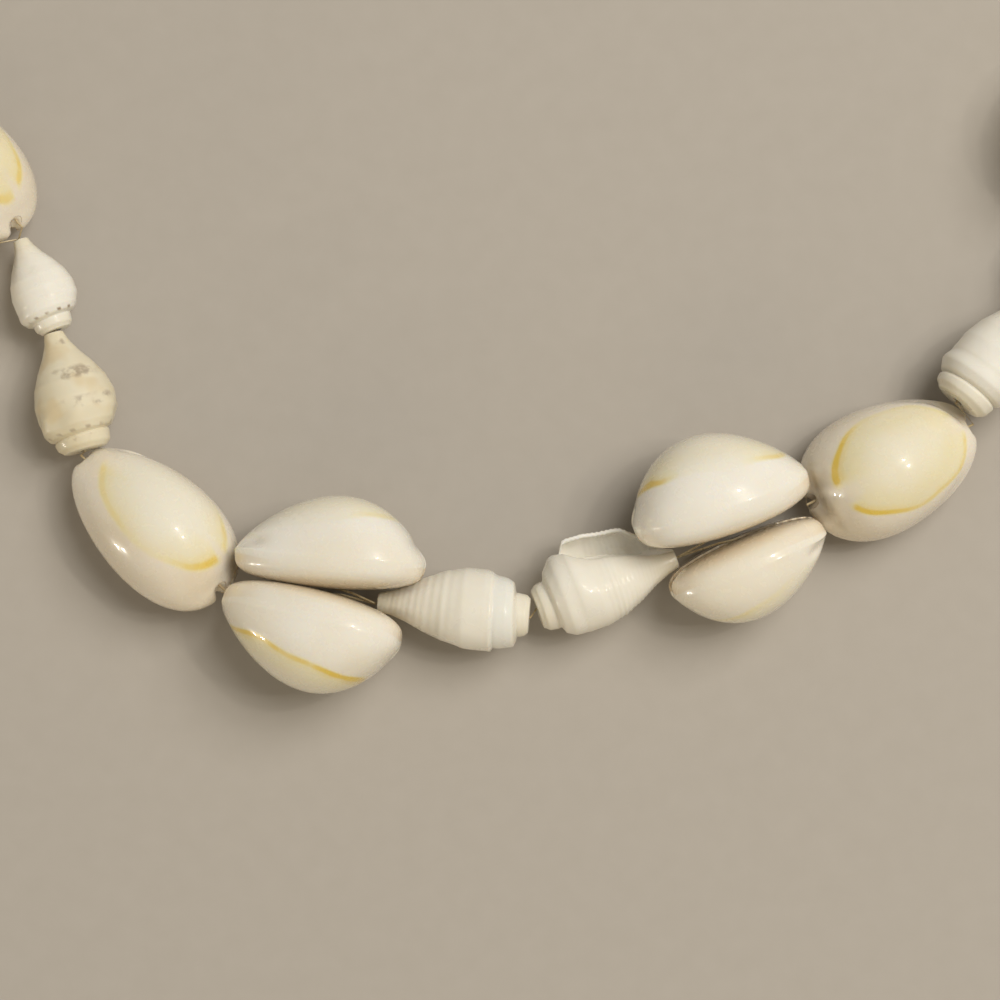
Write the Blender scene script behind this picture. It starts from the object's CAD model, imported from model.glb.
import math

import bmesh
import bpy
import numpy as np
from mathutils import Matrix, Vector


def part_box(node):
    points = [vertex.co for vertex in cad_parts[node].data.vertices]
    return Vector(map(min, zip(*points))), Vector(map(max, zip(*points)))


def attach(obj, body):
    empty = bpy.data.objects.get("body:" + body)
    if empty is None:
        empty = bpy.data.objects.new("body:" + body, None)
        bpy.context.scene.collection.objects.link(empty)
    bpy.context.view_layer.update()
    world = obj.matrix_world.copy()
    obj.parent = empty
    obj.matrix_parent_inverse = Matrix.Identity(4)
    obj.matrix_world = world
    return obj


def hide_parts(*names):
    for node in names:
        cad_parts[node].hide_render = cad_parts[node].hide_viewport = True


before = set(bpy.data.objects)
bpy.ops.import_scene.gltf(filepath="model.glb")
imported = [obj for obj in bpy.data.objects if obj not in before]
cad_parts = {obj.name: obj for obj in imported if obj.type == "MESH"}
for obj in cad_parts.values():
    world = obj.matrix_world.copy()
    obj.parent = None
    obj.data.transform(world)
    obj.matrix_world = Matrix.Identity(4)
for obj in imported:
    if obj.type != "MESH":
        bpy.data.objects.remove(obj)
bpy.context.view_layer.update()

MM = 0.001

# The row of shells

# The front's shells: kind, heading, roll and pitch in degrees, length in mm, and girth (1 is usual)
SEEN = {
    "conch_l1": ("conch", 175, 20, 3, 16.1, 1),
    "cowrie_l2_inner": ("pair", 175.5, 92, 0, 20.2, 0.97),
    "cowrie_l2_outer": ("pair", 166, -81, 0, 19.5, 1.07),
    "cowrie_l3": ("single", 136, 24, 0, 20.9, 0.92),
    "conch_l4": ("conch", 106, -8, 3, 12.9, 1.27),
    "conch_l5": ("conch", 112, 0, 3, 10.4, 1.26),
    "cowrie_l6_inner": ("single", 130, 28, 0, 19, 0.92),
    "cowrie_l6_outer": ("pair", 114, -97, 0, 19.3, 1),
    "conch_r1": ("conch", 20, 120, 3, 15.7, 1.05),
    "cowrie_r2_inner": ("pair", 18.2, -81, 0, 19.3, 1.1),
    "cowrie_r2_outer": ("pair", 23.2, 96, 0, 17.7, 0.98),
    "cowrie_r3": ("single", 26, -7, 0, 19.4, 1.06),
    "conch_r4": ("conch", 50, 60, 3, 14.8, 1.18),
}

# The hidden stretch: what follows the front's shells on each side, up to the clasp at the back, and
# the number in the first one's name
HIDDEN_RIGHT = ["conch", "pair", "single", "conch", "conch", "pair", "single", "conch", "conch", "pair"]
HIDDEN_LEFT = ["single", "conch", "conch", "pair", "single", "conch", "conch", "pair"]
FIRST_RIGHT, FIRST_LEFT = 5, 7

# Its curve, from the front's lowest point in mm: two ends, the headings there in degrees, and how
# far the curve's handles reach
RIGHT_END, RIGHT_HEADING = (53.7, 33.5), 60
LEFT_END, LEFT_HEADING = (-67.6, 56.0), 110
HANDLE = 156

# How much of the curve half a piece takes up, and how far a conch's end tucks in between a pair, in mm
HALF = {"conch": 7.3, "single": 9.95, "pair": 9.95, "clasp": 6.0}
TUCK = 3.8

# The hidden shells' usual lengths in mm and rolls in degrees, each with its greatest change, the
# conches' pitch, and how far each shell of a pair turns from the curve
HIDDEN_LENGTH = {"conch": (14.3, 0.2), "single": (19.5, 0.3), "pair": (19.6, 0.4)}
HIDDEN_ROLL = {"conch": (90, 80), "single": (0, 14), "pair": (88, 7)}
CONCH_PITCH = 3
PAIR_ANGLE = 6
GOLDEN_ANGLE = 137.5


def ray(angle):
    return np.array([math.cos(math.radians(angle)), math.sin(math.radians(angle))])


def varied(usual, change, i):
    """The usual number, moved by up to the change, in a way that is fixed for each i."""
    return usual + change * math.sin(math.radians(i * GOLDEN_ANGLE))


def back_curve(steps=240):
    """Points of the hidden stretch from the right end to the left, and the length up to each."""
    right, left = np.array(RIGHT_END), np.array(LEFT_END)
    right_handle = right + HANDLE * ray(RIGHT_HEADING)
    left_handle = left + HANDLE * ray(LEFT_HEADING)
    u = np.linspace(0, 1, steps + 1)[:, None]
    v = 1 - u
    points = v ** 3 * right + 3 * u * v ** 2 * right_handle + 3 * u * u * v * left_handle + u ** 3 * left
    lengths = np.concatenate([[0], np.cumsum(np.linalg.norm(np.diff(points, axis=0), axis=1))])
    return points, lengths


def heading_at(s, points, lengths):
    """The curve's heading in degrees at the length s, over 1 mm of it."""
    before, after = (
        np.array([np.interp(np.clip(v, 0, lengths[-1]), lengths, points[:, k]) for k in (0, 1)])
        for v in (s - 0.5, s + 0.5))
    way = after - before
    return math.degrees(math.atan2(way[1], way[0]))


def hidden_row():
    """The pieces that the photo leaves out, in the same columns as the front's."""
    kinds = HIDDEN_RIGHT + ["clasp"] + HIDDEN_LEFT[::-1]
    steps = [HALF[a] + HALF[b] - (TUCK if {a, b} == {"conch", "pair"} else 0)
             for a, b in zip(kinds, kinds[1:])]
    spots = HALF[kinds[0]] + np.concatenate([[0], np.cumsum(steps)])
    points, lengths = back_curve()
    stretch = lengths[-1] / (spots[-1] + HALF[kinds[-1]])
    rows = {}
    for i, kind in enumerate(kinds):
        way = heading_at(stretch * spots[i], points, lengths)
        if kind == "clasp":
            rows[kind] = (kind, way, 0, 0)
            continue
        right = i < len(HIDDEN_RIGHT)
        side = f"r{FIRST_RIGHT + i}" if right else f"l{FIRST_LEFT + len(kinds) - 1 - i}"
        heading = way if right else way + 180
        roll = varied(*HIDDEN_ROLL[kind], i)
        if kind == "conch":
            rows[f"conch_{side}"] = (kind, heading, roll, CONCH_PITCH, varied(*HIDDEN_LENGTH[kind], i), 1)
        elif kind == "single":
            rows[f"cowrie_{side}"] = (kind, heading, roll, 0, varied(*HIDDEN_LENGTH[kind], i), 1)
        else:
            length = varied(*HIDDEN_LENGTH[kind], i + 3)
            for place, turn in (("inner", -1 if right else 1), ("outer", 1 if right else -1)):
                rows[f"cowrie_{side}_{place}"] = (
                    kind, heading + turn * PAIR_ANGLE, turn * roll, 0, length, 1)
    return rows


# Shapes

# The bend in degrees from which an edge is shaded sharp
COWRIE_SHARP, CONCH_SHARP, CLASP_SHARP = 40, 50, 30


def smooth(value, low, high):
    """0 below low, 1 above high, and a soft step between."""
    v = np.clip((np.asarray(value, float) - low) / (high - low), 0, 1)
    return v * v * (3 - 2 * v)


def bell(value, middle, width):
    """1 at the middle, and softly down to 0 on both sides."""
    return np.exp(-((value - middle) / width) ** 2)


def turn_matrix(heading, roll, pitch):
    """The turn of a piece from its own axes: roll about its length, then pitch, then heading."""
    h, r, p = (math.radians(v) for v in (heading, roll, pitch))
    about_z = np.array([[math.cos(h), -math.sin(h), 0], [math.sin(h), math.cos(h), 0], [0, 0, 1]])
    about_y = np.array([[math.cos(p), 0, math.sin(p)], [0, 1, 0], [-math.sin(p), 0, math.cos(p)]])
    about_x = np.array([[1, 0, 0], [0, math.cos(r), -math.sin(r)], [0, math.sin(r), math.cos(r)]])
    return about_z @ about_y @ about_x


def ring_faces(rings, count, first_cap, last_cap):
    """Quads between rings of count points, and fans to a cap point at each end."""
    k, i = np.meshgrid(np.arange(rings - 1), np.arange(count), indexing="ij")
    a, b = k * count + i, k * count + (i + 1) % count
    quads = np.stack([a, a + count, b + count, b], axis=-1).reshape(-1, 4)
    i = np.arange(count)
    last = (rings - 1) * count
    fans = [np.stack([np.full(count, first_cap), i, (i + 1) % count], axis=-1),
            np.stack([last + i, np.full(count, last_cap), last + (i + 1) % count], axis=-1)]
    return [tuple(q) for q in quads.tolist()] + [tuple(f) for f in np.concatenate(fans).tolist()]


def add_mesh(name, points, faces, values, sharp):
    """A smooth-shaded object from points in mm, with named values at its points."""
    mesh = bpy.data.meshes.new(name)
    mesh.from_pydata((points * MM).tolist(), [], faces)
    mesh.polygons.foreach_set("use_smooth", [True] * len(mesh.polygons))
    mesh.set_sharp_from_angle(angle=math.radians(sharp))
    for key, numbers in values.items():
        attribute = mesh.attributes.new(key, "FLOAT", "POINT")
        attribute.data.foreach_set("value", np.asarray(numbers, np.float32))
    mesh.update()
    thing = bpy.data.objects.new(name, mesh)
    bpy.context.scene.collection.objects.link(thing)
    return thing


def placing(own, turns, node):
    """The turn and the shift, in mm, that centre a piece on its node's box in plan and stand it where
    the node stands."""
    turned = turn_matrix(*turns).T
    points = own @ turned
    low, high = (np.array(v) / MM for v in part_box(node))
    own_low, own_high = points.min(axis=0), points.max(axis=0)
    shift = (low + high - own_low - own_high) / 2
    shift[2] = low[2] - own_low[2]
    return turned, shift


# Cowries

# Width and height as shares of the length, the margin's share of the height, how much wider the rear
# is than the middle, and the powers that round off the plan, the crown, the sole and the margin
WIDTH, HEIGHT, MARGIN, SWELL = 0.65, 0.50, 0.33, 0.18
PLAN_POWER, CROWN_POWER, SOLE_POWER, MARGIN_POWER = 0.89, 1.6, 0.6, 0.75

# Steps over the dome and over each side of the base, and rings along the shell
DOME_STEPS, BASE_STEPS, COWRIE_RINGS = 56, 10, 96

# The slit's width and depth in mm, the most that it takes of the half width and of the sole, and its
# section as shares of its half width and its depth
SLIT_W, SLIT_DEPTH = 1.3, 1.5
SLIT_MOST_W, SLIT_MOST_DEPTH = 0.25, 0.62
SLIT_SECTION = np.array([(-0.92, 0.25), (-0.74, 0.7), (-0.4, 1.0), (0.4, 1.0), (0.74, 0.7), (0.92, 0.25)])

# The relief in mm: the canals at both ends and how far the rear one lies to the left, the knobs beside
# it, how far the rear's margin juts out as a beak and the dome above it draws in, and how high the
# thin lip of the front's groove rises
CANAL, CANAL_LEFT, KNOB = 0.9, 0.35, 0.12
BEAK_OUT, DOME_IN = 0.1, 0.42
LIP_UP = 0.22

# The relief as shares: the brim at the sides and its growth to the front, the trough above it, and the
# groove beside the front canal with its lip and its width in degrees
BRIM, BRIM_FRONT, TROUGH = 0.008, 0.03, 0.035
GROOVE, GROOVE_LIP, GROOVE_W = 0.07, 0.015, 11

# The holes' widths in mm, for two strands and for one, and how far the drill goes past its two ends
HOLE_D = {"single": 1.2, "pair": 0.8}
DRILL_PAST, DRILL_SIDES = 2, 24

# A single's hole ends in mm past the rear and the front, and above the margin's edge. A pair's start at
# the slit and end at the front, as shares of the length and the height, and lean aside at the front.
SINGLE_REAR, SINGLE_FRONT = (0.1, 1.3), (0.2, 0.3)
PAIR_SLIT, PAIR_FRONT, PAIR_LEAN = (-0.12, -0.53), (0.48, -0.29), 0.9

# The ring of colour and the relief of each cowrie that the photo shows
# yellow: how yellow the crown inside the ring is, from 0
# middle, reach: the ring's middle and half size, along and across, as shares of half the shell's
# groove: where the front's groove lies, in degrees from the front by the left
# beak: how far the rear juts out, from 0 to 1
# stops: the ring's strength at bearings in degrees, from the rear by the right, the front and the left
RINGS = {
    "cowrie_r3": dict(
        yellow=1.0, middle=(0.085, -0.02), reach=(0.76, 0.79), groove=17, beak=1.0,
        stops=[(-180, 0), (-158, 0), (-152, 0.95), (-135, 1.0), (-110, 0.85), (-90, 0.7), (-60, 0.7),
               (-30, 0.8), (-12, 0.7), (-3, 0.5), (2, 0), (16, 0), (24, 0.5), (66, 0.5), (97, 0.45),
               (118, 0.75), (134, 0.95), (152, 1.1), (172, 1.1), (177, 0.9), (180, 0)]),
    "cowrie_l3": dict(
        yellow=0.2, middle=(0.01, -0.11), reach=(0.74, 0.77), groove=-34, beak=0.3,
        stops=[(-180, 0.85), (-176, 0.8), (-172, 0), (-166, 0), (-160, 0.65), (-141, 0.75), (-128, 0.5),
               (-112, 0.15), (-95, 0), (-5, 0), (3, 0.3), (10, 0.8), (18, 0.65), (32, 0.6), (60, 0.6),
               (81, 0.5), (96, 0.35), (110, 0.35), (122, 0.5), (140, 0.75), (168, 0.9), (180, 0.85)]),
    "cowrie_l2_outer": dict(
        yellow=0.6, middle=(0.05, 0), reach=(0.76, 0.79), groove=20, beak=0.2,
        stops=[(-180, 0.9), (-160, 1.1), (-140, 1.1), (-120, 0.95), (-100, 0.8), (-85, 0.8), (-65, 0.9),
               (-40, 1.0), (-15, 0.8), (10, 0.3), (90, 0.1), (150, 0.4), (180, 0.9)]),
    "cowrie_l2_inner": dict(
        yellow=0.3, middle=(0.05, 0), reach=(0.74, 0.79), groove=20, beak=0.7,
        stops=[(-180, 0.2), (-90, 0.1), (0, 0.06), (90, 0.06), (108, 0.2), (125, 0.5), (145, 0.6),
               (165, 0.4), (180, 0.2)]),
    "cowrie_r2_inner": dict(
        yellow=0.35, middle=(-0.01, 0), reach=(0.82, 0.80), groove=20, beak=0.25,
        stops=[(-180, 0.8), (-165, 0.95), (-150, 1.1), (-132, 0.8), (-115, 0.15), (-70, 0.03), (-52, 0.5),
               (-30, 0.8), (-12, 0.6), (0, 0.2), (90, 0.15), (150, 0.3), (180, 0.8)]),
    "cowrie_r2_outer": dict(
        yellow=0.35, middle=(0.05, 0), reach=(0.75, 0.79), groove=20, beak=0.15,
        stops=[(-180, 0.2), (0, 0.1), (60, 0.05), (78, 0.25), (100, 0.35), (118, 0.55), (135, 0.6),
               (155, 0.4), (180, 0.2)]),
    "cowrie_l6_inner": dict(
        yellow=1.3, middle=(0.02, 0), reach=(0.72, 0.74), groove=-30, beak=0.3,
        stops=[(-180, 0.7), (-174, 0.6), (-171, 0), (-163, 0), (-157, 0.75), (-135, 0.85), (-115, 0.6),
               (-90, 0.35), (-50, 0.3), (0, 0.5), (60, 0.5), (120, 0.6), (150, 0.8), (180, 0.7)]),
}


def plain_ring(length):
    """A ring for a shell that the photo doesn't show, strong at both ends and broken at the rear."""
    phase = length * 40
    stops = [(-180, 0.7), (-172, 0), (-160, 0)]
    for bearing in range(-150, 181, 15):
        swing = 0.3 * math.cos(math.radians(2 * bearing))
        stops.append((bearing, 0.42 + swing + 0.15 * math.sin(math.radians(3 * bearing + phase))))
    return dict(yellow=0.6 + 0.4 * math.sin(phase), middle=(0.06, 0), reach=(0.73, 0.74),
                groove=18, beak=0.5, stops=stops)


def cowrie_sizes(length, girth):
    """Half the length, half the width, the whole height and the margin's part of it, in mm."""
    height = HEIGHT * length * girth
    return length / 2, WIDTH * length * girth / 2, height, MARGIN * height


def cowrie_section(t, length, girth):
    """Across a cowrie at angle t of its length, 0 at the rear: y and z of the section's points."""
    _, half, height, margin = cowrie_sizes(length, girth)
    grow = 1 + SWELL * math.cos(t)
    half_w = half * math.sin(t) ** PLAN_POWER * grow
    crown = (height - margin) * math.sin(t) ** CROWN_POWER * grow
    sole = margin * math.sin(t) ** SOLE_POWER
    slit_half = min(SLIT_W / 2, half_w * SLIT_MOST_W)
    slit_rise = min(SLIT_DEPTH, sole * SLIT_MOST_DEPTH)
    # The dome's points stand closer together near the margin
    u = np.linspace(0, 1, DOME_STEPS + 1)
    a = math.pi * (u - np.sin(2 * math.pi * u) / (4 * math.pi))
    dome = np.stack([half_w * np.cos(a), crown * np.sin(a)], axis=1)
    a = np.radians(np.linspace(0, 90, BASE_STEPS + 1)[1:])
    foot = np.stack([slit_half + (half_w - slit_half) * np.cos(a) ** MARGIN_POWER,
                     -sole * np.sin(a) ** MARGIN_POWER], axis=1)
    slit = SLIT_SECTION * [slit_half, slit_rise] - [0, sole]
    return np.concatenate([dome, foot * [-1, 1], slit, foot[::-1]])


def cowrie_skin(length, girth):
    """x, y and z of a cowrie's points before its relief: ring by ring from the rear, then both ends."""
    half = length / 2
    rings = []
    for t in np.linspace(0, math.pi, COWRIE_RINGS + 2)[1:-1]:
        section = cowrie_section(t, length, girth)
        rings.append(np.column_stack([np.full(len(section), -half * math.cos(t)), section]))
    return np.concatenate(rings + [[[-half, 0, 0]], [[half, 0, 0]]]).T.copy()


def glaze_values(look, kind, length, girth, x, y, z):
    """What the glaze reads at each point: how far it is from the ring of colour, over the surface in
    mm, the ring's strength at its bearing, and its place on the shell."""
    half, half_w, height, margin = cowrie_sizes(length, girth)
    crown = height - margin
    (middle, aside), (long, wide) = look["middle"], look["reach"]
    a, b = long * half, wide * half_w
    across, along = (y - aside * half_w) / b, (x - middle * half) / a
    bearing = np.arctan2(across, along)
    phase = length * 9
    wander = 0.02 * np.sin(3 * bearing + phase) + 0.012 * np.sin(7 * bearing + 2 * phase)
    slope = np.sqrt((x / half ** 2) ** 2 + (y / half_w ** 2) ** 2 + (z / crown ** 2) ** 2)
    lean = z / crown ** 2 / slope
    ring = (np.hypot(across, along) - 1 + wander) * min(a, b) / np.clip(lean, 0.35, 1)
    places, strengths = np.array(look["stops"], float).T

    # The base has no ring, and the crown no slit: there both are out of the glaze's reach
    return {
        "ring": np.where(z < 0, 4, ring),
        "band": np.interp(np.degrees(bearing), places, strengths),
        "cream": np.full(len(x), look["yellow"]),
        "along": x,
        "slit": np.abs(y) + np.where(z > -0.3, 6, 0),
        "foot": np.clip(-z / margin, 0, 1),
        "tan": np.full(len(x), 1.0 if kind == "single" else 0.0),
    }


def relief(look, length, girth, x, y, z):
    """The skin's points with the brim, the front's groove, the rear's beak and both canals."""
    half, _, height, margin = cowrie_sizes(length, girth)
    beak = look["beak"]

    # The margin stands out as a thin brim, most at the front, with a shallow trough above it
    front = smooth(x / half, 0.1, 0.85) * (0.4 + 0.6 * beak)
    brim = 1 + (BRIM + BRIM_FRONT * front) * bell(z, 0, 0.45) - TROUGH * front * bell(z, 1.5, 0.8)

    # Beside the front canal the trough deepens to a groove under a thin lip
    window = bell(np.degrees(np.arctan2(y, x)), look["groove"], GROOVE_W)
    lip = window * bell(z, 0, 0.35)
    pull = 1 - GROOVE * window * bell(z, 1.15, 0.6) + GROOVE_LIP * lip
    y = y * brim * pull
    x = x * pull

    # The rear end's margin juts out as a beak below the dome, split by the rear canal
    end = smooth(-x / half, 0.72, 0.95)
    x = x + end * beak * (DOME_IN * bell(z, 2.3, 0.8) - BEAK_OUT * bell(z, 0.3, 0.8))
    end = smooth(-x / half, 0.8, 0.97)
    aside = y - CANAL_LEFT
    notch = bell(aside, 0, 0.5) * (1 - smooth(z, 0.9, 2.0))
    knobs = beak * bell(np.abs(aside), 1.05, 0.4) * bell(z, 0.8, 0.8)
    x = x + end * (CANAL * notch - KNOB * knobs)

    # The front canal, and the shell's own middle height
    end = smooth(x / half, 0.8, 0.97)
    x = x - end * CANAL * bell(y, 0, 0.8) * (1 - smooth(z, -0.2, 0.9))
    z = z + LIP_UP * lip + margin - height / 2
    return np.stack([x, y, z], axis=1)


def cowrie_hole(kind, roll, length, girth):
    """The hole's rear end and front end in a cowrie's own axes."""
    height = HEIGHT * length * girth
    if kind == "single":
        edge = (MARGIN - 0.5) * height
        rear = [-length / 2 - SINGLE_REAR[0], 0, edge + SINGLE_REAR[1]]
        return np.array([rear, [length / 2 + SINGLE_FRONT[0], 0, edge + SINGLE_FRONT[1]]])
    slit = [PAIR_SLIT[0] * length, 0, PAIR_SLIT[1] * height]
    lean = -math.copysign(PAIR_LEAN, roll)
    return np.array([slit, [PAIR_FRONT[0] * length, lean, PAIR_FRONT[1] * height]])


def drill(thing, ends, diameter):
    """Cuts the hole for the thread through a shell."""
    way = ends[1] - ends[0]
    length = np.linalg.norm(way) + 2 * DRILL_PAST
    way = way / np.linalg.norm(way)
    side = np.cross(way, [0, 0, 1])
    side /= np.linalg.norm(side)
    up = np.cross(way, side)
    turn = np.radians(np.arange(DRILL_SIDES) * (360 / DRILL_SIDES))[:, None]
    rim = (np.cos(turn) * side + np.sin(turn) * up) * diameter / 2 + (ends[0] + ends[1]) / 2
    tube = np.concatenate([rim - way * length / 2, rim + way * length / 2])
    rear = list(range(DRILL_SIDES))
    front = [i + DRILL_SIDES for i in rear]
    faces = list(zip(rear, front, front[1:] + front[:1], rear[1:] + rear[:1]))
    cutter = add_mesh(thing.name + "_drill", tube, faces + [rear, front[::-1]], {}, COWRIE_SHARP)
    cut = thing.modifiers.new("hole", "BOOLEAN")
    cut.operation, cut.solver, cut.object = "DIFFERENCE", "EXACT", cutter
    bpy.context.view_layer.update()
    whole = bpy.data.meshes.new_from_object(thing.evaluated_get(bpy.context.evaluated_depsgraph_get()))
    # Points with only two edges on the hole's rim are left out, since they can turn into doubled slivers
    skin = bmesh.new()
    skin.from_mesh(whole)
    bmesh.ops.dissolve_verts(skin, verts=[v for v in skin.verts if len(v.link_edges) == 2])
    skin.to_mesh(whole)
    skin.free()
    whole.set_sharp_from_angle(angle=math.radians(COWRIE_SHARP))
    thing.modifiers.clear()
    thing.data = whole
    bpy.data.objects.remove(cutter)


def cowrie(name, kind, heading, roll, pitch, length, girth):
    """A cowrie in its node's place, front along its heading and crown up before it rolls."""
    look = RINGS.get(name) or plain_ring(length)
    skin = cowrie_skin(length, girth)
    values = glaze_values(look, kind, length, girth, *skin)
    own = relief(look, length, girth, *skin)
    turned, shift = placing(own, (heading, roll, pitch), name)
    cap = len(own) - 2
    faces = ring_faces(COWRIE_RINGS, cap // COWRIE_RINGS, cap, cap + 1)
    shell = add_mesh("shell_" + name, own @ turned + shift, faces, values, COWRIE_SHARP)
    drill(shell, cowrie_hole(kind, roll, length, girth) @ turned + shift, HOLE_D[kind])
    return shell


# Conches

# Width as a share of the length, the wall's growth and the whorls' step along in one turn, and the
# mouth's depth, all as shares
CONCH_WIDTH, GROWTH, RISE, MOUTH_DEPTH = 0.53, 0.24, 0.06, 0.46
WALL_STEPS, CONCH_RINGS = 72, 136

# Where the wall starts at the mouth's inner side and ends at the lip, in degrees round the shell, how
# much earlier it starts at the shoulder, where the mouth closes, and how far the inner face curls back
MOUTH_FROM, LIP_AT = -84, 244
MOUTH_CLOSING, LIP_CURL = 28, 42

# The lip's rounded edge: shares of its thickness, and degrees past the wall's end. The lip is at most
# this thick in mm, and as a share of the radius.
LIP_EDGE = np.array([(0.12, 1.6), (0.5, 2.4), (0.88, 1.6)])
LIP_THICK, LIP_THICK_SHARE = 0.45, 0.2

# The small relief in mm: the lip's teeth and their spacing, the growth lines, and as a share of the
# radius the knobs on the shoulder of speckled shells
TEETH, TEETH_SPACING, GROWTH_LINE = 0.025, 0.5, 0.012
KNOBS = 0.045

# The ground ends: the hole's radius and the rounding in mm, how deep the hole is in the collar and in
# the tip, and the rounding's steps, as shares of its depth and of the section that it takes off
HOLE_R, END_ROUND = 0.55, 0.14
COLLAR_HOLE, TIP_HOLE = 2.2, 2.0
END_STEPS = ((0.5, 0.03), (0.85, 0.09), (1.0, 0.2))

# The outline from the ground end to the tip: place along the shell, radius, and how far the lip stands
# out there, all as shares
OUTLINE = np.array([
    (0.000, 0.50, 0.0), (0.030, 0.60, 0.0), (0.095, 0.64, 0.0), (0.115, 0.61, 0.0), (0.128, 0.78, 0.2),
    (0.190, 0.91, 0.7), (0.300, 0.99, 1.0), (0.430, 1.00, 0.85), (0.570, 0.89, 1.0), (0.700, 0.69, 2.0),
    (0.820, 0.46, 2.2), (0.920, 0.31, 1.0), (1.000, 0.24, 0.0),
])
RADIUS_COLUMN, LIP_COLUMN = 1, 2

# What a conch is like, unless its own list says otherwise.
# ribs, spacing: the ribs' height, and their spacing at the middle, in mm
# specks, dots, matte, warm: grey specks, dots along the seam, how matte and how yellow, from 0 to 1
# lap: how far in mm the last whorl laps over the one before; it also draws the whorls' steps to the
#     ground end
# collar, lip, shoulder: the collar's width, and how far the lip and the shoulder stand out
USUAL = dict(ribs=0.0, spacing=0.9, specks=0.0, dots=0.0, matte=0.0, warm=0.05, lap=0.0, collar=1.0,
             lip=0.12, shoulder=0.0)
CONCHES = {
    "conch_l1": dict(ribs=0.021, spacing=1.10, warm=0.2, lap=0.5, collar=0.85),
    "conch_r1": dict(ribs=0.055, spacing=0.62, warm=0.2, collar=0.97, lip=0.30, shoulder=0.3),
    "conch_l4": dict(ribs=0.01, specks=1.0, dots=0.6, matte=1.0, warm=0.9, collar=1.08),
    "conch_l5": dict(ribs=0.006, specks=0.1, dots=1.0, collar=0.95),
    "conch_r4": dict(ribs=0.008, spacing=0.8, collar=1.15),
}


def plain_conch(length):
    """What a conch that the photo doesn't show is like, different for each length."""
    return dict(ribs=varied(0.025, 0.02, length * 31), spacing=0.95,
                specks=max(0, varied(0, 0.6, length * 17)), dots=max(0, varied(0, 1, length * 23)),
                matte=max(0, varied(0, 0.8, length * 17)), warm=varied(0.4, 0.3, length * 13))


def outline_at(along, column, span):
    """A column of the outline, softened at its corners over a span of an odd number of steps."""
    fine = np.linspace(-0.02, 1.02, 521)
    kernel = np.hanning(span)
    values = np.interp(fine, OUTLINE[:, 0], OUTLINE[:, column])
    soft = np.convolve(np.pad(values, span // 2, mode="edge"), kernel / kernel.sum(), mode="valid")
    return np.interp(along, fine, soft)


def lapped(along, lap):
    """The outline's place for a place along the shell, moved where the last whorl laps over."""
    return along + lap * 0.09 * bell(along, 0.15, 0.12)


def conch_wall(look, length, along, radius, opening):
    """The outer wall from the mouth's inner side round to the lip: shares of the turn, angles in
    degrees and radii in mm, a row for each place along the shell."""
    turn = np.linspace(0, 1, WALL_STEPS)[None, :]
    mouth_from = MOUTH_FROM - MOUTH_CLOSING * bell(along, 0.2, 0.12)
    angle = mouth_from + (LIP_AT - mouth_from) * turn

    # The wall grows through the turn, and the lip, the shoulder and knobs stand out from it
    lip_out = outline_at(along, LIP_COLUMN, 51) * look["lip"]
    grown = 1 + GROWTH * (turn - 0.6) * opening + lip_out * opening * smooth(turn, 0.88, 1.0)
    shoulder = look["shoulder"] * bell(along, 0.285, 0.12) * (1 - smooth(turn, 0.0, 0.35))
    knobs = KNOBS * look["specks"] * bell(along, 0.24, 0.09) * np.cos(38 * turn + 2)

    # Ribs run round the half nearer the tip, closer together and lower towards it
    mm = along * length
    spacing = look["spacing"]
    pitch = spacing * (1 - 0.5 * smooth(along, 0.5, 1.0))
    count = np.cumsum(np.gradient(mm[:, 0]) / pitch[:, 0])[:, None]
    rib = np.cos(2 * math.pi * (count + (0.6 + 1.8 * along ** 2) * turn)) * smooth(along, 0.4, 0.58)
    rib = rib * pitch / spacing * (0.4 + 0.6 * bell(turn, 0.62, 0.3))
    teeth = TEETH * np.cos(2 * math.pi * mm / TEETH_SPACING) * smooth(turn, 0.97, 1.0) * opening

    # The last whorl stands out past the seam, and the one before it draws in
    place = lapped(along, look["lap"])
    seam = smooth(place, 0.255, 0.272)
    lap_here = look["lap"] * (0.3 + 0.7 * bell(turn, 0.2, 0.22))
    laps = lap_here * (0.5 * seam * (1 - smooth(place, 0.36, 0.55))
                       - 0.6 * (1 - seam) * smooth(place, 0.13, 0.2))
    growth_lines = GROWTH_LINE * np.sin(44 * turn + 5 * along + length)
    wall = (radius * (grown + shoulder + knobs) + look["ribs"] * rib + teeth + laps
            + growth_lines * opening)
    return turn, angle, wall


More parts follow.
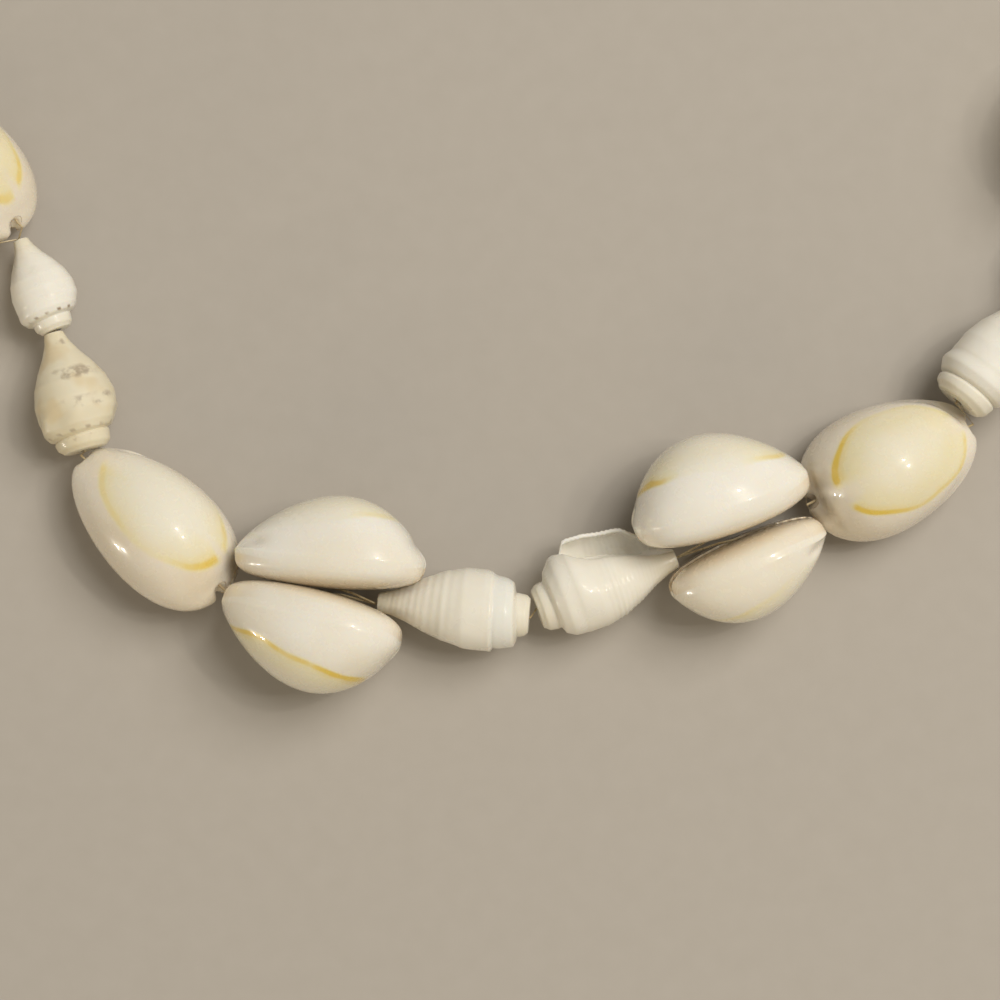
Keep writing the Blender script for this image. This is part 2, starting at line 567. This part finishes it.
def conch_mouth(along, radius, opening, angle, wall):
    """The lip's edge, its inner face and the mouth's floor up to where the wall starts: angles, radii
    and shares of the gap that they bridge."""
    curl = smooth(along, 0.16, 0.34) * (1 - smooth(along, 0.72, 0.96))
    mouth_from = angle[:, :1]
    first, last = wall[:, :1], wall[:, -1:]
    thick = np.minimum(LIP_THICK, LIP_THICK_SHARE * last)
    lip = last - thick * LIP_EDGE[:, 0]
    lip_angle = np.broadcast_to(LIP_AT + LIP_EDGE[:, 1], lip.shape)

    # The inner face follows the wall from inside, and the first ring's angles serve near the lip
    back = np.linspace(0.06, 1, 8)[None, :]
    inner_angle = LIP_AT - back * LIP_CURL * curl
    inner = np.stack([np.interp(at, angle[0], row) for at, row in zip(inner_angle, wall)]) - thick

    # The floor falls away from the inner face and comes up to the wall's start
    share = np.linspace(0, 1, 16)[None, :]
    deep = radius * (1 + 0.4 * GROWTH * opening) * (1 - MOUTH_DEPTH - 0.08 * curl)
    start, low = inner_angle[:, -1:], np.minimum(deep, inner[:, -1:])
    floor_angle = start + (360 + mouth_from - start) * share
    floor = low + (inner[:, -1:] - low) * (1 - smooth(share, 0.0, 0.14)) ** 2
    floor = floor + (first - floor) * smooth(share, 0.62, 1.0)
    mouth_angle = np.concatenate([lip_angle, inner_angle, floor_angle[:, :-1]], axis=1)
    mouth = np.concatenate([lip, inner, floor[:, :-1]], axis=1)

    # Where the shell has no mouth, the same points lie on the closed wall
    gap = np.linspace(0, 1, mouth.shape[1] + 2)[None, 1:-1]
    closed_angle = LIP_AT + (360 + mouth_from - LIP_AT) * gap
    closed = last + (first - last) * gap
    return closed_angle + (mouth_angle - closed_angle) * opening, closed + (mouth - closed) * opening, gap


def conch_end(section, face_x, depth):
    """Rings that round a ground end off to its flat face, and the hole in it."""
    around = np.arctan2(section[:, 2], section[:, 1])
    across, up = HOLE_R * np.cos(around), HOLE_R * np.sin(around)
    rim = np.stack([np.full(len(around), face_x), across, up], axis=-1)
    rounded = []
    for step, shrink in END_STEPS:
        ring = section * [1, 1 - shrink, 1 - shrink]
        ring[:, 0] += step * (face_x - ring[:, 0])
        rounded.append(ring)
    return rounded + [rim, rim + [depth, 0, 0]]


def conch_shape(name, length, girth):
    """Rings of a conch in its own axes, tip along x and mouth down, and the values that its material
    reads at each point."""
    look = {**USUAL, **(CONCHES.get(name) or plain_conch(length))}
    lap, collar = look["lap"], look["collar"]
    along = np.linspace(0, 1, CONCH_RINGS)[:, None]
    place = lapped(along, lap)
    greatest = CONCH_WIDTH * length * girth / 2
    radius = outline_at(place, RADIUS_COLUMN, 15) * greatest
    radius = radius * (1 + (collar - 1) * (1 - smooth(place, 0.10, 0.125)))
    opening = smooth(along, 0.19, 0.29) * (1 - 0.6 * smooth(along, 0.88, 1.0))
    coiled = np.clip((along - 0.02) / 0.05, 0, 1) * (1 - along)

    turn, angle, wall = conch_wall(look, length, along, radius, opening)
    mouth_angle, mouth, gap = conch_mouth(along, radius, opening, angle, wall)
    angles = np.radians(np.concatenate([angle, mouth_angle], axis=1))
    radii = np.concatenate([wall, mouth], axis=1)
    turns = np.broadcast_to(np.concatenate([turn, 1 - gap], axis=1), radii.shape)
    inside = np.concatenate([np.zeros_like(wall), np.ones_like(mouth) * opening], axis=1)
    x = (length - 2 * END_ROUND) * (along - 0.5 + RISE * coiled * (turns - 0.5))
    body = np.stack([x, radii * np.cos(angles), radii * np.sin(angles)], axis=-1)

    # Ground ends with the hole for the thread, which take 0.3 of the inside's colour
    collar_end = conch_end(body[0], body[0, :, 0].min() - END_ROUND, COLLAR_HOLE)
    tip_end = conch_end(body[-1], body[-1, :, 0].max() + END_ROUND, -TIP_HOLE)
    rings = np.concatenate([np.stack(collar_end[::-1]), body, np.stack(tip_end)])
    extra = len(collar_end)
    end_inside = np.full((extra, inside.shape[1]), 0.3)
    end_turns = np.broadcast_to(turns[:1], (extra, turns.shape[1]))
    share = lapped(np.concatenate([np.zeros((extra, 1)), along, np.ones((extra, 1))]), lap)
    at_rings = {
        "along": np.broadcast_to(share, rings.shape[:2]),
        "inside": np.concatenate([end_inside, inside, end_inside]),
        "turn": np.concatenate([end_turns, turns, end_turns]),
    }
    at_caps = {"along": (0, 1), "inside": (1, 1), "turn": (0, 0)}
    values = {key: np.concatenate([at_rings[key].ravel(), at_caps[key]]) for key in at_rings}
    for key in ("specks", "dots", "matte", "warm", "lap"):
        values[key] = np.full(len(values["along"]), look[key])
    return rings, values


def conch(name, kind, heading, roll, pitch, length, girth):
    """A conch in its node's place, tip along its heading and mouth down before it rolls."""
    rings, values = conch_shape(name, length, girth)
    own = np.concatenate([rings.reshape(-1, 3), [rings[0].mean(axis=0), rings[-1].mean(axis=0)]])
    turned, shift = placing(own, (heading, roll, pitch), name)
    cap = len(own) - 2
    faces = ring_faces(len(rings), rings.shape[1], cap, cap + 1)
    return add_mesh("shell_" + name, own @ turned + shift, faces, values, CONCH_SHARP)


# Clasp

CLASP_SIDES, FLUTES, FLUTE_DEPTH = 120, 30, 0.05

# One half of the turned barrel, from the bore's floor round its end to the joint in the middle: place
# along it and radius, in mm
BARREL = np.array([
    (3.8, 0.60), (5.42, 0.60), (5.5, 0.68), (5.5, 1.10), (5.42, 1.36), (5.18, 1.62), (4.86, 1.84),
    (4.66, 2.02), (4.58, 2.14), (4.48, 2.20), (4.12, 2.20), (4.02, 2.14), (3.96, 2.02), (3.86, 1.98),
    (3.70, 2.06), (3.58, 2.10), (0.62, 2.10), (0.50, 2.06), (0.40, 2.16), (0.30, 2.20), (0.12, 2.20),
    (0.05, 2.12), (0.02, 2.04),
])


def clasp(name, kind, heading, roll, pitch):
    """A barrel in two halves that screw together, fluted for the fingers."""
    profile = np.concatenate([BARREL * [-1, 1], BARREL[::-1]])
    turn = np.linspace(0, 2 * math.pi, CLASP_SIDES, endpoint=False)
    x, radius = profile[:, :1], profile[:, 1:]
    fluted = smooth(np.abs(x), 0.6, 0.64) * (1 - smooth(np.abs(x), 3.5, 3.6))
    radius = radius - FLUTE_DEPTH * fluted * (1 + np.cos(FLUTES * turn))
    across, up = radius * np.cos(turn), radius * np.sin(turn)
    rings = np.stack([np.broadcast_to(x, radius.shape), across, up], axis=-1)
    own = np.concatenate([rings.reshape(-1, 3), [[profile[0, 0], 0, 0]], [[profile[-1, 0], 0, 0]]])
    turned, shift = placing(own, (heading, roll, pitch), name)
    cap = len(own) - 2
    faces = ring_faces(len(profile), CLASP_SIDES, cap, cap + 1)
    return add_mesh("barrel_" + name, own @ turned + shift, faces, {"along": own[:, 0]}, CLASP_SHARP)


# Materials

# Cowries: the crown from pale to creamy, the margins of paired and of single shells with their
# blotches, the ring of colour from soft to deep, the base, and the slit's ridges and its floor
CROWN_PALE, CROWN_CREAM = (0.81, 0.775, 0.655, 1), (0.75, 0.665, 0.40, 1)
PAIR_MARGIN, PAIR_BLOTCH = (0.84, 0.815, 0.735, 1), (0.78, 0.72, 0.58, 1)
SINGLE_MARGIN, SINGLE_BLOTCH = (0.80, 0.74, 0.62, 1), (0.73, 0.63, 0.46, 1)
SOFT_GOLD, DEEP_GOLD = (0.81, 0.72, 0.31, 1), (0.76, 0.55, 0.07, 1)
BASE_TAN = (0.70, 0.53, 0.31, 1)
RIDGE_TAN, SLIT_BROWN = (0.55, 0.40, 0.22, 1), (0.50, 0.37, 0.21, 1)
RIDGE_SPACING = 0.95

# Conches: two whites, two creams, the whorl under the lap, stains, specks, the seam's dots and the mouth
WHITE, WHITE_SHADE = (0.84, 0.82, 0.745, 1), (0.81, 0.78, 0.69, 1)
CREAM, CREAM_SHADE = (0.72, 0.645, 0.45, 1), (0.65, 0.56, 0.34, 1)
BARE_WHORL, STAIN, SPECK = (0.76, 0.78, 0.74, 1), (0.62, 0.46, 0.22, 1), (0.30, 0.23, 0.16, 1)
SEAM_DOT, MOUTH_WHITE = (0.24, 0.16, 0.09, 1), (0.92, 0.89, 0.81, 1)

# Thread, clasp and floor, each from its first colour to its second
LINE_COLOURS = (0.74, 0.62, 0.38, 1), (0.56, 0.42, 0.21, 1)
METAL_COLOURS = (0.76, 0.73, 0.68, 1), (0.52, 0.47, 0.40, 1)
FLOOR_COLOURS = (0.42, 0.385, 0.335, 1), (0.45, 0.415, 0.365, 1)
TURNING_MARKS = 0.09


class Tree:
    """A new material's nodes, made one by one. A noise's scale is in waves for each metre."""

    def __init__(self, name):
        self.material = bpy.data.materials.new(name)
        self.material.use_nodes = True
        self.nodes, self.links = self.material.node_tree.nodes, self.material.node_tree.links
        self.shader = self.nodes["Principled BSDF"]

    def plug(self, socket, value):
        """Links another node's socket, or sets a plain value."""
        if isinstance(value, bpy.types.NodeSocket):
            self.links.new(value, socket)
        else:
            socket.default_value = value

    def set(self, **sockets):
        """Sets the shader's sockets, named with _ for a space."""
        for name, value in sockets.items():
            self.plug(self.shader.inputs[name.replace("_", " ")], value)

    def attribute(self, name):
        node = self.nodes.new("ShaderNodeAttribute")
        node.attribute_name = name
        return node.outputs["Fac"]

    def noise(self, scale, detail=3.0, stretch=None):
        place = self.nodes.new("ShaderNodeTexCoord").outputs["Object"]
        if stretch:
            mapping = self.nodes.new("ShaderNodeMapping")
            mapping.inputs["Scale"].default_value = stretch
            self.plug(mapping.inputs["Vector"], place)
            place = mapping.outputs["Vector"]
        node = self.nodes.new("ShaderNodeTexNoise")
        node.inputs["Scale"].default_value = scale
        node.inputs["Detail"].default_value = detail
        self.plug(node.inputs["Vector"], place)
        return node.outputs["Fac"]

    def math(self, operation, a, b=0.0):
        node = self.nodes.new("ShaderNodeMath")
        node.operation = operation
        self.plug(node.inputs[0], a)
        self.plug(node.inputs[1], b)
        return node.outputs[0]

    def times(self, first, *others):
        for other in others:
            first = self.math("MULTIPLY", first, other)
        return first

    def ramp(self, value, *stops):
        """A number curve: pairs of place and height over the value."""
        low, high = stops[0][0], stops[-1][0]
        node = self.nodes.new("ShaderNodeValToRGB")
        node.color_ramp.interpolation = "EASE"
        elements = node.color_ramp.elements
        while len(elements) < len(stops):
            elements.new(0.5)
        for element, (place, height) in zip(elements, stops):
            element.position = (place - low) / (high - low)
            element.color = (height, height, height, 1)
        self.plug(node.inputs["Fac"], self.math("DIVIDE", self.math("SUBTRACT", value, low), high - low))
        return node.outputs["Color"]

    def mix(self, share, a, b):
        node = self.nodes.new("ShaderNodeMix")
        node.data_type = "RGBA"
        self.plug(node.inputs["Factor"], share)
        self.plug(node.inputs["A"], a)
        self.plug(node.inputs["B"], b)
        return node.outputs["Result"]

    def bump(self, height, distance, below=None):
        node = self.nodes.new("ShaderNodeBump")
        node.inputs["Distance"].default_value = distance
        self.plug(node.inputs["Height"], height)
        if below:
            self.plug(node.inputs["Normal"], below)
        return node.outputs["Normal"]


def glaze():
    """Polished cowrie: porcelain white with a gold ring round a creamy crown, and a tan toothed slit."""
    m = Tree("cowrie_glaze")
    ring, band, cream = m.attribute("ring"), m.attribute("band"), m.attribute("cream")
    cloud = m.noise(160, 3)
    ring = m.math("ADD", ring, m.times(m.math("SUBTRACT", cloud, 0.5), 0.7))
    creamy = m.times(cream, m.ramp(ring, (-5.0, 0.3), (-0.6, 0.75)), m.ramp(cloud, (0.3, 0.6), (0.7, 1.0)))
    crown = m.mix(creamy, CROWN_PALE, CROWN_CREAM)
    blotch, tan = m.ramp(m.noise(75, 2), (0.36, 0.0), (0.66, 0.8)), m.attribute("tan")
    margin = m.mix(tan, m.mix(blotch, PAIR_MARGIN, PAIR_BLOTCH),
                   m.mix(blotch, SINGLE_MARGIN, SINGLE_BLOTCH))
    colour = m.mix(m.ramp(ring, (-2.4, 0.0), (0.4, 1.0)), crown, margin)

    # The gold is deep along the ring's line and a soft yellow inside it
    glow = m.ramp(ring, (-2.8, 0.0), (-1.2, 0.3), (-0.55, 0.6), (-0.15, 1.0), (0.05, 1.0), (0.6, 0.0))
    strength = m.times(glow, band, m.ramp(m.noise(420, 2), (0.25, 0.8), (0.6, 1.0)))
    gold = m.mix(m.ramp(strength, (0.3, 0.0), (0.95, 1.0)), SOFT_GOLD, DEEP_GOLD)
    colour = m.mix(m.math("MINIMUM", strength, 0.95), colour, gold)

    # The base is tan, and ridges cross the slit's edges
    slit = m.attribute("slit")
    near = m.ramp(slit, (0.0, 1.0), (0.7, 1.0), (1.6, 0.0))
    base = m.math("MAXIMUM", m.ramp(slit, (0.6, 0.6), (3.6, 0.25), (5.5, 0.0)),
                  m.ramp(m.attribute("foot"), (0.4, 0.0), (0.95, 0.45)))
    colour = m.mix(base, colour, BASE_TAN)
    teeth = m.math("SINE", m.times(m.attribute("along"), 2 * math.pi / RIDGE_SPACING))
    groove = m.times(near, m.ramp(teeth, (-1.0, 1.0), (0.2, 0.0)))
    colour = m.mix(m.times(groove, 0.35), colour, RIDGE_TAN)
    colour = m.mix(m.ramp(slit, (0.0, 0.8), (0.5, 0.4), (0.66, 0.0)), colour, SLIT_BROWN)
    ripple = m.bump(m.noise(260, 2), 0.00002)
    m.set(Base_Color=colour, Roughness=m.ramp(m.noise(900, 2), (0.3, 0.2), (0.7, 0.3)),
          Normal=m.bump(m.times(teeth, near), 0.00006, ripple))
    m.set(IOR=1.55, Subsurface_Weight=0.25, Subsurface_Radius=(1.0, 0.75, 0.45), Subsurface_Scale=0.0012,
          Coat_Weight=0.8, Coat_Roughness=0.045)
    return m.material


def chalk():
    """Conch: cream and white porcelain, with grey-brown specks and dots at the seam on the worn ones."""
    m = Tree("conch_porcelain")
    along, turn, inside = m.attribute("along"), m.attribute("turn"), m.attribute("inside")
    matte, specks = m.attribute("matte"), m.attribute("specks")
    cloud = m.noise(220, 4)
    white = m.mix(m.ramp(cloud, (0.35, 0.0), (0.7, 1.0)), WHITE, WHITE_SHADE)
    cream = m.mix(m.ramp(m.noise(120, 3), (0.35, 0.0), (0.65, 1.0)), CREAM, CREAM_SHADE)
    ends = m.ramp(along, (0.0, 0.45), (0.12, 0.3), (0.16, 0.0), (0.7, 0.1), (1.0, 0.65))
    colour = m.mix(m.times(m.math("MAXIMUM", m.attribute("warm"), ends), 0.8), white, cream)

    # The whorl before the last is clean and a little blue where the last one laps over it
    bare = m.times(m.ramp(along, (0.13, 0.0), (0.15, 1.0), (0.255, 1.0), (0.265, 0.0)), m.attribute("lap"))
    colour = m.mix(bare, colour, BARE_WHORL)

    # Specks lie in bands round the whorl, over ochre stains
    stain = m.times(m.ramp(m.noise(260, 2), (0.5, 0.0), (0.68, 0.4)), specks)
    colour = m.mix(stain, colour, STAIN)
    spots = m.ramp(m.noise(800, 4), (0.47, 0.0), (0.68, 1.0))
    rows = m.ramp(m.math("SINE", m.times(along, 23.0)), (-0.2, 0.0), (1.0, 1.0))
    patches = m.ramp(m.noise(330, 2), (0.42, 0.0), (0.6, 0.75))
    colour = m.mix(m.times(spots, rows, specks, patches), colour, SPECK)

    # Dots follow the seam between the collar and the last whorl
    seam = m.ramp(along, (0.120, 0.0), (0.142, 1.0), (0.166, 0.0))
    beads = m.ramp(m.math("SINE", m.times(turn, 80.0)), (0.1, 0.0), (0.95, 1.0))
    uneven = m.ramp(m.noise(500, 1), (0.4, 0.1), (0.6, 0.9))
    colour = m.mix(m.times(seam, beads, uneven, m.attribute("dots")), colour, SEAM_DOT)
    colour = m.mix(m.times(inside, 0.8), colour, MOUTH_WHITE)
    pits = m.bump(m.noise(1100, 3), 0.000012, m.bump(m.noise(300, 2), 0.00003))
    shine = m.math("ADD", m.ramp(cloud, (0.3, 0.24), (0.7, 0.34)), m.times(matte, 0.16))
    m.set(Base_Color=colour, Roughness=shine, Normal=pits)
    m.set(IOR=1.55, Subsurface_Weight=0.2, Subsurface_Radius=(1.0, 0.75, 0.45), Subsurface_Scale=0.001,
          Coat_Weight=0.3, Coat_Roughness=0.08)
    return m.material


def nylon():
    """Fishing line that has yellowed, cloudy where it has been pulled through the shells."""
    m = Tree("yellowed_line")
    haze = m.noise(900, 3, stretch=(1, 1, 0.2))
    colour = m.mix(m.ramp(haze, (0.35, 0.0), (0.7, 1.0)), *LINE_COLOURS)
    m.set(Base_Color=colour, Roughness=m.ramp(haze, (0.3, 0.2), (0.7, 0.4)))
    m.set(IOR=1.53, Transmission_Weight=0.3)
    return m.material


def metal():
    """Plated barrel with fine turning marks, dulled in its grooves."""
    m = Tree("clasp_metal")
    rings = m.math("SINE", m.times(m.attribute("along"), 2 * math.pi / TURNING_MARKS))
    wear = m.noise(700, 4)
    colour = m.mix(m.ramp(wear, (0.4, 0.0), (0.75, 1.0)), *METAL_COLOURS)
    m.set(Base_Color=colour, Roughness=m.ramp(wear, (0.3, 0.2), (0.7, 0.42)),
          Normal=m.bump(rings, 0.000004))
    m.set(Metallic=1.0)
    return m.material


# The necklace

BUILDERS = {"single": cowrie, "pair": cowrie, "conch": conch, "clasp": clasp}
SLOTS = {"single": "cowrie_shell", "pair": "cowrie_shell", "conch": "conch_shell", "clasp": "clasp"}
finishes = {"cowrie_shell": glaze(), "conch_shell": chalk(), "clasp": metal()}
for name, row in {**SEEN, **hidden_row()}.items():
    kind = row[0]
    piece = BUILDERS[kind](name, *row)
    slot = SLOTS[kind]
    piece.data.materials.append(finishes[slot])
    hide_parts(name)
    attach(piece, "root")

line = nylon()
for name in ("thread_inner", "thread_outer"):
    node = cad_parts[name]
    node.data.materials.clear()
    node.data.materials.append(line)


# Stage, light and camera

FLOOR_REACH, FLOOR_DROP = 3.0, 0.00003
WARM = (1.0, 0.93, 0.82)
WORLD_STRENGTH = 0.28

# The front's lowest point, and the picture's middle from there, in mm
FRONT = np.array([4.70, -76.06])
PICTURE_MIDDLE = np.array([-3.885, 11.76])

# The lamps: place and width in metres, power in watts, colour, and whether shells mirror it
LAMPS = {
    "key": ((0.45, 0.30, 0.85), 0.7, 8.3, (1.0, 0.97, 0.93), False),
    "fill": ((-0.15, -0.9, 0.35), 0.8, 1.6, (1.0, 0.81, 0.52), False),
    "bulb_a": ((0.52, 0.18, 0.9), 0.05, 0.7, WARM, True),
    "bulb_b": ((0.69, 0.0, 0.9), 0.05, 0.6, WARM, True),
    "low_a": ((-0.82, -0.49, 0.10), 0.05, 0.5, WARM, True),
    "low_b": ((-0.79, -0.53, 0.22), 0.05, 0.5, WARM, True),
}
LAMPS_AIM = np.array([FRONT[0], FRONT[1] + 10, 0]) * MM

# The eye is 300 mm above the shells' middle, 6 mm up, which the picture shows at 105 mm across
EYE_ABOVE, SHELL_MIDDLE, PICTURE_WIDTH = 300, 6, 105
SENSOR = 36


def pale_floor():
    """A wide sheet of paper just under the shells."""
    mesh = bpy.data.meshes.new("floor")
    corners = [(x * FLOOR_REACH, y * FLOOR_REACH, 0) for x, y in ((-1, -1), (1, -1), (1, 1), (-1, 1))]
    mesh.from_pydata(corners, [], [(0, 1, 2, 3)])
    floor = bpy.data.objects.new("floor", mesh)
    floor.location.z = -FLOOR_DROP
    bpy.context.scene.collection.objects.link(floor)
    m = Tree("floor_paper")
    grain = m.noise(400, 4)
    m.set(Base_Color=m.mix(grain, *FLOOR_COLOURS), Roughness=0.85)
    mesh.materials.append(m.material)


def area_light(name, place, size, power, colour, mirrored):
    """A round lamp that faces the front's shells."""
    light = bpy.data.lights.new(name, "AREA")
    light.shape, light.size = "DISK", size
    light.energy, light.color = power, colour
    lamp = bpy.data.objects.new(name, light)
    way = LAMPS_AIM - np.array(place)
    tilt = math.atan2(math.hypot(way[0], way[1]), -way[2])
    lamp.location = place
    lamp.rotation_euler = (tilt, 0, math.atan2(way[0], -way[1]) + math.pi)
    lamp.visible_glossy = mirrored
    bpy.context.scene.collection.objects.link(lamp)


pale_floor()
for name, lamp in LAMPS.items():
    area_light(name, *lamp)

world = bpy.data.worlds.new("studio")
world.use_nodes = True
background = world.node_tree.nodes["Background"]
background.inputs["Color"].default_value = (*WARM, 1)
background.inputs["Strength"].default_value = WORLD_STRENGTH
bpy.context.scene.world = world
bpy.context.scene.view_settings.view_transform = "Standard"

camera = bpy.data.cameras.new("photo_camera")
camera.sensor_width = SENSOR
camera.lens = SENSOR * EYE_ABOVE / PICTURE_WIDTH
camera.clip_start = 0.01
eye = bpy.data.objects.new("photo_camera", camera)
eye_x, eye_y = FRONT + PICTURE_MIDDLE
eye.location = (eye_x * MM, eye_y * MM, (EYE_ABOVE + SHELL_MIDDLE) * MM)
bpy.context.scene.collection.objects.link(eye)
bpy.context.scene.camera = eye
